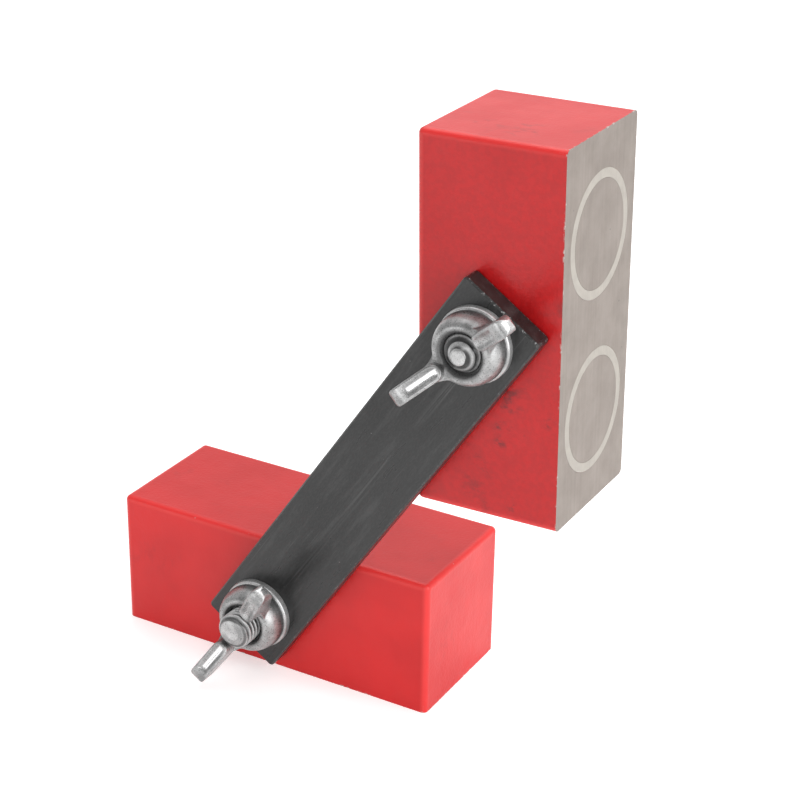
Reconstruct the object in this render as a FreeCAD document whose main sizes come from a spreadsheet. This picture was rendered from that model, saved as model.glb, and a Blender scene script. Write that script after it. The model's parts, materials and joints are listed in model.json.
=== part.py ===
"""Adjustable pair of holding magnets: two magnet blocks clamped to the ends of one flat link bar.

Row frame: the origin is the centre of the lower block's working face, on the steel it grips.
+X runs along the lower block towards the upper one, +Z points up, and the wing nuts face -Y.
All sizes are in millimetres.
"""
import FreeCAD, Part
import Sketcher
import math
import os
import re

V = FreeCAD.Vector
AXIS_X = V(1, 0, 0)
AXIS_Y = V(0, 1, 0)
AXIS_Z = V(0, 0, 1)

SIZES = {
    # the steel block and its threaded hole
    "block_length": 100.0,
    "block_depth": 40.0,
    "block_height": 40.0,
    "block_edge_radius": 1.5,
    "stud_hole_clearance": 0.02,
    "stud_hole_spare": 2.0,
    "drill_point_angle": 59.0,
    # the two round magnets let into the working face
    "magnet_inset": 26.5,
    "magnet_radius": 14.0,
    "magnet_thickness": 12.0,
    "pole_thickness": 8.0,
    "ring_width": 2.45,
    "glue_gap": 0.05,
    # where the upper block stands
    "link_angle": 56.0,
    "upper_block_lean": 1.3,
    # the flat link bar
    "link_length": 140.0,
    "link_width": 25.0,
    "link_thickness": 6.0,
    "link_hole_inset": 12.0,
    "link_hole_clearance": 0.5,
    "link_corner_radius": 1.2,
    "link_edge_chamfer": 0.45,
    "pivot_gap": 0.05,
    # the studs
    "stud_radius": 5.0,
    "stud_grip": 20.0,
    "stud_chamfer": 0.9,
    "lower_stud_reach": 19.6,
    "upper_stud_reach": 15.8,
    "upper_tip_radius": 2.4,
    "upper_tip_length": 1.3,
    # the washers
    "washer_radius": 10.0,
    "washer_thickness": 2.0,
    "washer_hole_clearance": 0.25,
    "washer_chamfer": 0.5,
    # the wing nuts
    "nut_bore_clearance": 0.05,
    "nut_base_radius": 9.5,
    "nut_base_band": 1.7,
    "hub_shoulder_radius": 8.8,
    "hub_shoulder_height": 4.3,
    "hub_height": 6.4,
    "hub_top_radius": 6.7,
    "mouth_radius": 5.9,
    "mouth_depth": 1.6,
    "wing_thickness": 4.6,
    "wing_tip_offset": 16.9,
    "wing_tip_radius": 3.5,
    "wing_rim_chamfer": 0.45,
    "wing_root_radius": 1.8,
    "wing_root_hub_radius": 8.3,
    "wing_root_offset": 6.2,
    "wing_root_low": 0.8,
    "lower_wing_tip_height": 12.3,
    "lower_wing_root_high": 10.8,
    "lower_nut_angle": 56.0,
    "upper_wing_tip_height": 10.9,
    "upper_wing_root_high": 6.9,
    "upper_nut_angle": 41.5,
}

doc = FreeCAD.newDocument("MagnetBlockPair")
sheet = doc.addObject("Spreadsheet::Sheet", "Sizes")
for row, (alias, value) in enumerate(SIZES.items(), start=1):
    sheet.set(f"A{row}", alias)
    sheet.set(f"B{row}", str(value))
    sheet.setAlias(f"B{row}", alias)
doc.recompute()


def formula(text):
    """Write a formula on aliases so that other objects can use it."""
    return re.sub(r"[a-z_]+", lambda word: f"Sizes.{word[0]}" if word[0] in SIZES else word[0], text)


def minus(text):
    """Turn a formula's sign round."""
    return f"-1 * ( {text} )"


def size(text):
    """Work out a formula on the sheet's sizes."""
    return float(sheet.evalExpression(formula(text)))


def bind(thing, **properties):
    """Bind properties of an object to formulas on the sheet's sizes."""
    for name, text in properties.items():
        thing.setExpression(name, formula(text))


def new_body(name):
    """Start one solid piece."""
    piece = doc.addObject("PartDesign::Body", name)
    piece.Label = name
    return piece


def new_sketch(piece, name, role):
    """Add a sketch on one of the piece's own origin planes."""
    sketch = piece.newObject("Sketcher::SketchObject", name)
    plane = next(item for item in piece.Origin.OriginFeatures if item.Role == role)
    sketch.AttachmentSupport = (plane, [""])
    sketch.MapMode = "FlatFace"
    return sketch


def place_point(sketch, geometry, end, across, up):
    """Tie one point of a sketch to two formulas, or to an axis where a formula is 0."""
    for kind, axis, text in (("DistanceX", -2, across), ("DistanceY", -1, up)):
        if text == "0":
            sketch.addConstraint(Sketcher.Constraint("PointOnObject", geometry, end, axis))
            continue
        value = size(text)
        number = sketch.addConstraint(Sketcher.Constraint(kind, -1, 1, geometry, end, value))
        sketch.setExpression(f"Constraints[{number}]", formula(text))


def arc_through(start, middle, finish):
    """Make the arc through three points, turning anticlockwise as a sketch wants it."""
    circle = Part.Circle(start, middle, finish)
    anticlockwise = (middle - start).cross(finish - middle).z > 0
    first, last = (start, finish) if anticlockwise else (finish, start)
    angles = [math.atan2(point.y - circle.Center.y, point.x - circle.Center.x)
              for point in (first, last)]
    if angles[1] <= angles[0]:
        angles[1] += 2 * math.pi
    return Part.ArcOfCircle(Part.Circle(circle.Center, AXIS_Z, circle.Radius), *angles)


def draw_outline(sketch, points, arcs=()):
    """Draw a closed outline through points given as pairs of formulas.

    arcs maps the number of a point to the radius formula and the bulge of the arc that
    starts there: a bulge of 1 bends to the left of the way to the next point, -1 to the right.
    """
    arcs = dict(arcs)
    first = len(sketch.Geometry)
    places = [V(size(across), size(up), 0) for across, up in points]
    for number, start in enumerate(places):
        finish = places[(number + 1) % len(places)]
        if number not in arcs:
            sketch.addGeometry(Part.LineSegment(start, finish))
            continue
        text, bulge = arcs[number]
        radius = size(text)
        chord = finish - start
        left = V(-chord.y, chord.x, 0).normalize()
        rise = radius - math.sqrt(radius ** 2 - (chord.Length / 2) ** 2)
        middle = (start + finish) / 2 + left * (bulge * rise)
        element = sketch.addGeometry(arc_through(start, middle, finish))
        limit = sketch.addConstraint(Sketcher.Constraint("Radius", element, radius))
        sketch.setExpression(f"Constraints[{limit}]", formula(text))
    for number, corner in enumerate(places):
        before, after = first + (number - 1) % len(places), first + number
        ends = (ending(sketch, before, 1, corner), ending(sketch, after, 0, corner))
        sketch.addConstraint(Sketcher.Constraint("Coincident", before, ends[0], after, ends[1]))
        place_point(sketch, after, ends[1], *points[number])


def ending(sketch, number, fallback, place):
    """Say which end of an outline's element lies at a place: 1 is its start, 2 its end."""
    element = sketch.Geometry[number]
    gaps = ((element.StartPoint - place).Length, (element.EndPoint - place).Length)
    if abs(gaps[0] - gaps[1]) < 1e-9:
        return fallback + 1
    return 1 if gaps[0] < gaps[1] else 2


def turned(piece, name, points):
    """Turn a profile, given as radius and height, about the piece's Z axis."""
    sketch = new_sketch(piece, f"{name}_profile", "YZ_Plane")
    draw_outline(sketch, points)
    feature = piece.newObject("PartDesign::Revolution", name)
    feature.Profile = sketch
    feature.ReferenceAxis = (sketch, ["V_Axis"])
    feature.Angle = 360
    doc.recompute()
    return feature


def grooved(piece, name, points):
    """Cut a turned profile, given as radius and height, out of a piece."""
    sketch = new_sketch(piece, f"{name}_profile", "XZ_Plane")
    draw_outline(sketch, points)
    feature = piece.newObject("PartDesign::Groove", name)
    feature.Profile = sketch
    feature.ReferenceAxis = (sketch, ["V_Axis"])
    feature.Angle = 360
    doc.recompute()
    return feature


def circle_in(sketch, across, up, radius):
    """Draw a circle whose centre and radius are formulas."""
    number = sketch.addGeometry(Part.Circle(V(size(across), size(up), 0), AXIS_Z, size(radius)))
    limit = sketch.addConstraint(Sketcher.Constraint("Radius", number, size(radius)))
    sketch.setExpression(f"Constraints[{limit}]", formula(radius))
    place_point(sketch, number, 3, across, up)


def eased(piece, kind, name, base, wanted, **amount):
    """Round or chamfer the edges of a feature that a test picks."""
    names = [f"Edge{number}" for number, edge in enumerate(base.Shape.Edges, start=1)
             if wanted(edge)]
    feature = piece.newObject(f"PartDesign::{kind}", name)
    feature.Base = (base, names)
    bind(feature, **amount)
    doc.recompute()
    return feature


def outward(base, spin=0.0):
    """Place a piece that was made standing on Z so that it points out of the blocks' front face."""
    turn = FreeCAD.Rotation(AXIS_X, 90).multiply(FreeCAD.Rotation(AXIS_Z, spin))
    return FreeCAD.Placement(base, turn)


# The places that the pieces share
MAGNET_OFFSET = "block_length / 2 - magnet_inset"
HOLE_PITCH = size("link_length - 2 * link_hole_inset")
LINK_RISE = math.radians(size("link_angle"))
FRONT = -size("block_depth / 2")
STUD_HEIGHT = size("block_height / 2")
LOWER_AXIS = V(0, FRONT, STUD_HEIGHT)
UPPER_AXIS = LOWER_AXIS + V(math.cos(LINK_RISE), 0, math.sin(LINK_RISE)) * HOLE_PITCH
LINK_BACK = size("pivot_gap")
WASHER_BACK = LINK_BACK + size("link_thickness")
NUT_BACK = WASHER_BACK + size("washer_thickness")

# A block's own frame has the working face on Z = 0, so the upper block is turned about its stud
UPPER_TURN = FreeCAD.Rotation(AXIS_Y, -90 - size("upper_block_lean"))
UPPER_BASE = UPPER_AXIS - UPPER_TURN.multVec(LOWER_AXIS)
BLOCK_PLACES = {
    "lower": FreeCAD.Placement(),
    "upper": FreeCAD.Placement(UPPER_BASE, UPPER_TURN),
}


def make_block(name):
    """Painted steel bar with two magnet pockets in its working face and a blind stud hole."""
    piece = new_body(name)
    outline = new_sketch(piece, f"{name}_outline", "XY_Plane")
    half_length, half_depth = "block_length / 2", "block_depth / 2"
    corners = ((-1, -1), (1, -1), (1, 1), (-1, 1))
    draw_outline(outline, [(f"{x} * {half_length}", f"{y} * {half_depth}") for x, y in corners])
    bar = piece.newObject("PartDesign::Pad", f"{name}_bar")
    bar.Profile = outline
    bind(bar, Length="block_height")
    doc.recompute()
    soft = eased(piece, "Fillet", f"{name}_edges", bar,
                 lambda edge: edge.BoundBox.ZMax > size("block_height") / 2,
                 Radius="block_edge_radius")

    pockets = new_sketch(piece, f"{name}_pocket_circles", "XY_Plane")
    for side in (-1, 1):
        circle_in(pockets, f"{side} * ( {MAGNET_OFFSET} )", "0",
                  "magnet_radius + ring_width + 2 * glue_gap")
    pocket = piece.newObject("PartDesign::Pocket", f"{name}_pockets")
    pocket.Profile = pockets
    pocket.Reversed = True
    bind(pocket, Length="magnet_thickness + pole_thickness")
    doc.recompute()

    hole = new_sketch(piece, f"{name}_stud_hole_profile", "YZ_Plane")
    mouth, bottom = "-1 * block_depth / 2", "stud_grip + stud_hole_spare - block_depth / 2"
    wall = "block_height / 2 + stud_radius + stud_hole_clearance"
    point = f"{bottom} + ( stud_radius + stud_hole_clearance ) / tan( drill_point_angle )"
    draw_outline(hole, [(mouth, "block_height / 2"), (point, "block_height / 2"),
                        (bottom, wall), (mouth, wall)])
    drilled = piece.newObject("PartDesign::Groove", f"{name}_stud_hole")
    drilled.Profile = hole
    drilled.ReferenceAxis = (hole, ["Edge1"])
    drilled.Angle = 360
    doc.recompute()
    assert soft.Shape.Volume > pocket.Shape.Volume > drilled.Shape.Volume
    return piece


def make_disc(name, thickness):
    """Round magnet at the bottom of a pocket, or the steel pole between it and the working face."""
    disc = doc.addObject("Part::Cylinder", name)
    disc.Label = name
    bind(disc, Radius="magnet_radius", Height=thickness)
    return disc


def make_spacer_ring(name):
    """Ring of non-magnetic metal that keeps the pole apart from the block."""
    piece = new_body(name)
    inner, outer = "magnet_radius + glue_gap", "magnet_radius + glue_gap + ring_width"
    top = "magnet_thickness + pole_thickness"
    turned(piece, f"{name}_turning", [(inner, "0"), (outer, "0"), (outer, top), (inner, top)])
    return piece


def make_stud(name, reach, tip_radius, tip_length):
    """Stud screwed into a block, from its inner end up to its free end."""
    piece = new_body(name)
    crest, root = "stud_radius", "stud_radius - stud_chamfer"
    points = [("0", "-1 * stud_grip"), (crest, "-1 * stud_grip")]
    if tip_length == "0":
        points += [(crest, f"{reach} - stud_chamfer"), (root, reach)]
    else:
        points += [(crest, f"{reach} - {tip_length} - stud_chamfer"),
                   (root, f"{reach} - {tip_length}"), (tip_radius, reach)]
    turned(piece, f"{name}_turning", points + [("0", reach)])
    return piece


def make_link_bar(name):
    """Flat bar with a clearance hole at each end for the studs."""
    piece = new_body(name)
    outline = new_sketch(piece, f"{name}_outline", "XY_Plane")
    left, right = "-1 * link_hole_inset", "link_length - link_hole_inset"
    half = "link_width / 2"
    draw_outline(outline, [(left, f"-1 * {half}"), (right, f"-1 * {half}"), (right, half), (left, half)])
    circle_in(outline, "0", "0", "stud_radius + link_hole_clearance")
    circle_in(outline, "link_length - 2 * link_hole_inset", "0", "stud_radius + link_hole_clearance")
    bar = piece.newObject("PartDesign::Pad", f"{name}_blank")
    bar.Profile = outline
    bind(bar, Length="link_thickness")
    doc.recompute()
    corners = eased(piece, "Fillet", f"{name}_corners", bar,
                    lambda edge: abs(edge.BoundBox.ZLength - size("link_thickness")) < 1e-6
                    and edge.BoundBox.YMax ** 2 > (size("link_width") / 2 - 1e-6) ** 2,
                    Radius="link_corner_radius")
    eased(piece, "Chamfer", f"{name}_edges", corners,
          lambda edge: edge.BoundBox.ZLength < 1e-6 and not is_hole_edge(edge),
          Size="link_edge_chamfer")
    return piece


def is_hole_edge(edge):
    """Tell a full circle from the other edges."""
    return edge.Closed and isinstance(edge.Curve, Part.Circle)


def make_washer(name):
    """Flat washer with a chamfered outer edge on its visible side."""
    piece = new_body(name)
    hole, rim, top = "stud_radius + washer_hole_clearance", "washer_radius", "washer_thickness"
    turned(piece, f"{name}_turning", [
        (hole, "0"),
        (rim, "0"),
        (rim, f"{top} - washer_chamfer"),
        (f"{rim} - washer_chamfer", top),
        (hole, top),
    ])
    return piece


def make_wing_nut(name, level):
    """Cast nut: two flared wings with round tips and eased rims, a domed hub, a bore and its mouth.

    The two nuts differ in how high the wings stand at the hub and at their tips.
    """
    tip_height, root_high = f"{level}_wing_tip_height", f"{level}_wing_root_high"
    piece = new_body(name)
    plan = new_sketch(piece, f"{name}_wing_plan", "XY_Plane")
    draw_wing_plan(plan)
    blank = piece.newObject("PartDesign::Pad", f"{name}_wing_blank")
    blank.Profile = plan
    bind(blank, Length=f"{tip_height} + 2 * wing_tip_radius")
    doc.recompute()

    sides = new_sketch(piece, f"{name}_wing_sides", "XZ_Plane")
    draw_wing_sides(sides, tip_height, root_high)
    trimmed = piece.newObject("PartDesign::Pocket", f"{name}_wing_trim")
    trimmed.Profile = sides
    trimmed.SideType = "Symmetric"
    bind(trimmed, Length="4 * nut_base_radius")
    doc.recompute()

    side, reach = size("wing_thickness / 2"), size("nut_base_radius")
    rims = eased(piece, "Chamfer", f"{name}_rims", trimmed,
                 lambda edge: edge.BoundBox.YLength < 1e-6
                 and abs(abs(edge.BoundBox.YMax) - side) < 1e-6
                 and max(abs(edge.BoundBox.XMin), abs(edge.BoundBox.XMax)) > reach,
                 Size="wing_rim_chamfer")
    hub = turned(piece, f"{name}_hub", [
        ("0", "0"),
        ("nut_base_radius", "0"),
        ("nut_base_radius", "nut_base_band"),
        ("hub_shoulder_radius", "hub_shoulder_height"),
        ("hub_top_radius", "hub_height"),
        ("0", "hub_height"),
    ])

    bore = "stud_radius + nut_bore_clearance"
    bored = grooved(piece, f"{name}_bore", [
        ("0", "-1 * nut_base_band"),
        (bore, "-1 * nut_base_band"),
        (bore, "hub_height - mouth_depth"),
        ("mouth_radius", "hub_height"),
        ("mouth_radius", f"hub_height + {tip_height}"),
        ("0", f"hub_height + {tip_height}"),
    ])
    assert trimmed.Shape.Volume > rims.Shape.Volume
    assert hub.Shape.Volume > bored.Shape.Volume
    return piece


def draw_wing_plan(sketch):
    """Both wings seen along the stud: straight sides that flare into the hub by round corners."""
    half, flare = "wing_thickness / 2", "wing_root_radius"
    neck_reach = f"sqrt( ( wing_root_hub_radius + {flare} ) ^ 2 - ( {half} + {flare} ) ^ 2 )"
    share = f"wing_root_hub_radius / ( wing_root_hub_radius + {flare} )"
    touch_x, touch_y = f"{neck_reach} * {share}", f"( {half} + {flare} ) * {share}"
    end = "wing_tip_offset + 2 * wing_tip_radius"
    quarter = [(end, half), (neck_reach, half), (touch_x, touch_y)]
    outline = list(quarter)
    outline += [(minus(x), y) for x, y in reversed(quarter)]
    outline += [(minus(x), minus(y)) for x, y in quarter]
    outline += [(x, minus(y)) for x, y in reversed(quarter)]
    draw_outline(sketch, outline, {1: (flare, 1), 3: (flare, 1), 7: (flare, 1), 9: (flare, 1)})


def draw_wing_sides(sketch, tip_height, root_high):
    """Frame round both wings seen from their flat side: straight flanks that touch round tips."""
    tip, height, radius = size("wing_tip_offset"), size(tip_height), size("wing_tip_radius")
    root = V(size("wing_root_offset"), size("wing_root_low"), 0)
    crown = V(size("wing_root_offset"), size(root_high), 0)
    centre = V(tip, height, 0)
    low, high = touch_point(root, centre, radius, -1), touch_point(crown, centre, radius, 1)
    outer = centre + V(radius, 0, 0)

    def mirrored(point):
        return V(-point.x, point.y, 0)

    elements = [
        Part.LineSegment(root, low),
        arc_through(low, outer, high),
        Part.LineSegment(high, crown),
        Part.LineSegment(crown, mirrored(crown)),
        Part.LineSegment(mirrored(crown), mirrored(high)),
        arc_through(mirrored(high), mirrored(outer), mirrored(low)),
        Part.LineSegment(mirrored(low), mirrored(root)),
        Part.LineSegment(mirrored(root), root),
    ]
    for element in elements:
        sketch.addGeometry(element)
    count = len(elements)
    corners = (low, high, crown, mirrored(crown), mirrored(high), mirrored(low), mirrored(root), root)
    for number, corner in enumerate(corners):
        after = (number + 1) % count
        ends = (ending(sketch, number, 1, corner), ending(sketch, after, 0, corner))
        kind = "Coincident" if number in (2, 3, 6, 7) else "Tangent"
        sketch.addConstraint(Sketcher.Constraint(kind, number, ends[0], after, ends[1]))
    for arc, sign in ((1, ""), (5, "-1 * ")):
        limit = sketch.addConstraint(Sketcher.Constraint("Radius", arc, radius))
        sketch.setExpression(f"Constraints[{limit}]", formula("wing_tip_radius"))
        place_point(sketch, arc, 3, f"{sign}wing_tip_offset", tip_height)
    for sign, line, corner, up in (("", 3, crown, root_high),
                                   ("-1 * ", 3, mirrored(crown), root_high),
                                   ("", 7, root, "wing_root_low"),
                                   ("-1 * ", 7, mirrored(root), "wing_root_low")):
        place_point(sketch, line, ending(sketch, line, 0, corner), f"{sign}wing_root_offset", up)
    reach, top = "wing_tip_offset + 3 * wing_tip_radius", f"{tip_height} + 3 * wing_tip_radius"
    frame = [(reach, top), (minus(reach), top),
             (minus(reach), minus("wing_tip_radius")), (reach, minus("wing_tip_radius"))]
    draw_outline(sketch, frame)


def touch_point(start, centre, radius, side):
    """Point where a line from start touches a circle, on its left (1) or right (-1)."""
    way = centre - start
    angle = math.atan2(way.y, way.x) + side * math.asin(radius / way.Length)
    reach = math.sqrt(way.Length ** 2 - radius ** 2)
    return start + V(math.cos(angle), math.sin(angle), 0) * reach


pieces = []


def keep(piece, placement):
    """Set a finished piece in its place and add it to the parts that are written out."""
    piece.Placement = placement
    pieces.append(piece)


SIDE_NAMES = {"lower": ("left", "right"), "upper": ("bottom", "top")}
for level, block_place in BLOCK_PLACES.items():
    keep(make_block(f"{level}_block"), block_place)
    for side_name, sign in zip(SIDE_NAMES[level], (-1, 1)):
        centre_x = sign * size(MAGNET_OFFSET)
        depth = size("magnet_thickness + pole_thickness")
        facing_down = FreeCAD.Placement(V(centre_x, 0, depth), FreeCAD.Rotation(AXIS_X, 180))
        pocket_place = block_place.multiply(facing_down)
        above_magnet = FreeCAD.Placement(V(0, 0, size("magnet_thickness")), FreeCAD.Rotation())
        keep(make_disc(f"{level}_magnet_{side_name}", "magnet_thickness"), pocket_place)
        keep(make_disc(f"{level}_pole_{side_name}", "pole_thickness"),
             pocket_place.multiply(above_magnet))
        keep(make_spacer_ring(f"{level}_spacer_ring_{side_name}"), pocket_place)

keep(make_link_bar("link_bar"), outward(LOWER_AXIS - AXIS_Y * LINK_BACK, size("link_angle")))
keep(make_stud("lower_stud", "lower_stud_reach", "0", "0"), outward(LOWER_AXIS))
keep(make_stud("upper_stud", "upper_stud_reach", "upper_tip_radius", "upper_tip_length"),
     outward(UPPER_AXIS))
for level, axis_point in (("lower", LOWER_AXIS), ("upper", UPPER_AXIS)):
    keep(make_washer(f"{level}_washer"), outward(axis_point - AXIS_Y * WASHER_BACK))
    keep(make_wing_nut(f"{level}_wing_nut", level),
         outward(axis_point - AXIS_Y * NUT_BACK, size(f"{level}_nut_angle")))

doc.recompute()
for item in doc.Objects:
    if "Invalid" in item.State or "Error" in item.State:
        raise RuntimeError(f"{item.Name} failed: {item.State}")
os.makedirs("parts", exist_ok=True)
for piece in pieces:
    if piece.Shape.isNull() or not piece.Shape.isValid() or len(piece.Shape.Solids) != 1:
        raise RuntimeError(f"{piece.Label} is not one sound solid")
    piece.Shape.exportStep(f"parts/{piece.Label}.step")
    print(f"{piece.Label}: {piece.Shape.Volume:.1f} mm3")
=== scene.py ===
"""Looks of an adjustable pair of holding magnets: two painted magnet blocks clamped to one link bar.

All lengths are in metres, in the part's own frame: the origin is the centre of the lower block's
working face, +X runs towards the upper block, +Z points up and the wing nuts face -Y.
"""
from __future__ import annotations

import json
import logging
from dataclasses import dataclass
from enum import Enum
from functools import reduce
from math import asin, atan2, cos, degrees, pi, radians, sin, sqrt, tau
from typing import Any, Callable, Mapping, NamedTuple, Sequence, Union

import bmesh
import bpy
from bpy.types import Camera, Light, Material, Mesh, Node, NodeSocket, NodeTree, Object
from mathutils import Euler, Matrix, Vector

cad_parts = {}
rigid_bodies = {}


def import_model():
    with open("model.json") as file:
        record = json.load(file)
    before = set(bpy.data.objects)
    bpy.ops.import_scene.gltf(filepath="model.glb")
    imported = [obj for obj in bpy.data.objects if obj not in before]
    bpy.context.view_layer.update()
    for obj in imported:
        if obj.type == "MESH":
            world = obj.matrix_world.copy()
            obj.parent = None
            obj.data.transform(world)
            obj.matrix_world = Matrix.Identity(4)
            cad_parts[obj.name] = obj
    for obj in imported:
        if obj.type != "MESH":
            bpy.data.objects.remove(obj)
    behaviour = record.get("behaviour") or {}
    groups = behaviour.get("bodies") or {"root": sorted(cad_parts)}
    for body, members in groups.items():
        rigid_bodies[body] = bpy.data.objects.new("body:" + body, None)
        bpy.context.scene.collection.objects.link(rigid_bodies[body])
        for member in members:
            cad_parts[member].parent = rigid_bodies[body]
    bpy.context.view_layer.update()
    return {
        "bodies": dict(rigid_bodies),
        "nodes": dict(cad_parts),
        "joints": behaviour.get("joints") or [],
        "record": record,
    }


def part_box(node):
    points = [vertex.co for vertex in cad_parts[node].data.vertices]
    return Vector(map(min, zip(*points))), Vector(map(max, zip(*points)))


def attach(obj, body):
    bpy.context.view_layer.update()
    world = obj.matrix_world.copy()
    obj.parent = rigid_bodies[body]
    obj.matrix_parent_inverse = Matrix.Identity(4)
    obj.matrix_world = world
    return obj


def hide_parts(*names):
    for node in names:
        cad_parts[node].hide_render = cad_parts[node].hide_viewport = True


LOG = logging.getLogger("magnet_blocks")
MM = 0.001
Colour = tuple[float, float, float, float]
Pair = tuple[float, float]
Point = tuple[float, float, float]
Radii = tuple[float, float, float, float]
ARITHMETIC = ("ADD", "SUBTRACT", "MULTIPLY", "DIVIDE")
EASED = {"interpolation_type": "SMOOTHSTEP", "clamp": True}


def linear(part: float) -> float:
    """Turn one part of a colour as a screen shows it, 0 to 255, into light."""
    share = part / 255
    return share / 12.92 if share <= 0.04045 else ((share + 0.055) / 1.055) ** 2.4


def srgb(red: float, green: float, blue: float) -> Colour:
    """Give the linear colour that shaders take for a screen's red, green and blue, 0 to 255."""
    return linear(red), linear(green), linear(blue), 1.0


def grey(level: float) -> Colour:
    """Give the linear colour of a neutral grey, 0 to 255."""
    return srgb(level, level, level)


def math_method(operation: str, swapped: bool = False) -> Callable[..., Signal]:
    """Make a method of Signal that adds a Math node.

    Args:
        operation: Name of the node's operation.
        swapped: Whether the other value goes first.

    Returns:
        The method. It takes no other value or one, as the operation does.
    """
    def method(self: Signal, *others: Value) -> Signal:
        """Add the Math node and give its result."""
        values = (*others, self) if swapped else (self, *others)
        return self.graph.signal("ShaderNodeMath", {"operation": operation}, dict(enumerate(values)))

    return method


class Signal:
    """A number that varies over a surface or along a mesh, with arithmetic that adds nodes."""

    __add__, __sub__, __mul__, __truediv__ = (math_method(name) for name in ARITHMETIC)
    __radd__, __rsub__, __rmul__, __rtruediv__ = (math_method(name, swapped=True) for name in ARITHMETIC)
    __abs__, root, part = math_method("ABSOLUTE"), math_method("SQRT"), math_method("FRACT")
    least, most, above = math_method("MINIMUM"), math_method("MAXIMUM"), math_method("GREATER_THAN")
    sine, cosine, bearing = math_method("SINE"), math_method("COSINE"), math_method("ARCTAN2", swapped=True)

    def __init__(self, graph: Graph, socket: NodeSocket) -> None:
        """Wrap an output socket of one of a graph's nodes."""
        self.graph = graph
        self.socket = socket

    def distance(self, other: Signal) -> Signal:
        """Give the length of the slope over this and another."""
        return (self * self + other * other).root()

    def fade(self, low: float, high: float, out_low: float = 0.0, out_high: float = 1.0) -> Signal:
        """Ease from out_low to out_high as this goes from low to high. High may be under low."""
        inputs = {"Value": self, "From Min": low, "From Max": high, "To Min": out_low, "To Max": out_high}
        return self.graph.signal("ShaderNodeMapRange", EASED, inputs)

    def spread(self, out_low: float = 0.0, out_high: float = 1.0) -> Signal:
        """Stretch the range that a noise mostly keeps to over two values."""
        return self.fade(0.3, 0.7, out_low, out_high)


Value = Union[Signal, float]
Input = Union[Signal, Node, NodeSocket, float, Sequence[float], Material]


class Graph:
    """Adds nodes to one shader or geometry tree."""

    def __init__(self, tree: NodeTree) -> None:
        """Take the tree that the nodes go into, and empty it."""
        self.tree = tree
        self.tree.nodes.clear()

    def node(self, kind: str, settings: Mapping[str, Any] | None = None,
             inputs: Mapping[int | str, Input] | None = None) -> Node:
        """Add one node.

        Args:
            kind: The node's type name.
            settings: Properties of the node, set before its sockets.
            inputs: Values or links of its sockets, by name or number. A node gives its first output.

        Returns:
            The new node.
        """
        node = self.tree.nodes.new(kind)
        for name, value in (settings or {}).items():
            setattr(node, name, value)
        for key, value in (inputs or {}).items():
            if isinstance(value, Signal):
                value = value.socket
            elif isinstance(value, Node):
                value = value.outputs[0]
            if isinstance(value, NodeSocket):
                self.tree.links.new(value, node.inputs[key])
            else:
                node.inputs[key].default_value = value
        return node

    def signal(self, kind: str, settings: Mapping[str, Any] | None = None,
               inputs: Mapping[int | str, Input] | None = None) -> Signal:
        """Add one node and take its first output."""
        return Signal(self, self.node(kind, settings, inputs).outputs[0])

    def axes(self, place: Input) -> tuple[Signal, Signal, Signal]:
        """Take a place or a direction apart into X, Y and Z."""
        parts = self.node("ShaderNodeSeparateXYZ", inputs={"Vector": place}).outputs
        return tuple(Signal(self, part) for part in parts)

    def rays(self, *kinds: str) -> Signal:
        """Give 1 for rays of any of the kinds, such as Camera, and 0 for the rest."""
        outputs = self.node("ShaderNodeLightPath").outputs
        return reduce(Signal.most, (Signal(self, outputs[f"Is {kind} Ray"]) for kind in kinds))


@dataclass(frozen=True)
class Place:
    """Where a piece's own frame lies: patterns are laid out in that frame."""

    origin: Point = (0.0, 0.0, 0.0)
    turn: Point = (0.0, 0.0, 0.0)

    def matrix(self) -> Matrix:
        """Give the matrix from the piece's own frame to the part's frame."""
        return Matrix.Translation(self.origin) @ Euler(self.turn).to_matrix().to_4x4()


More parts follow.
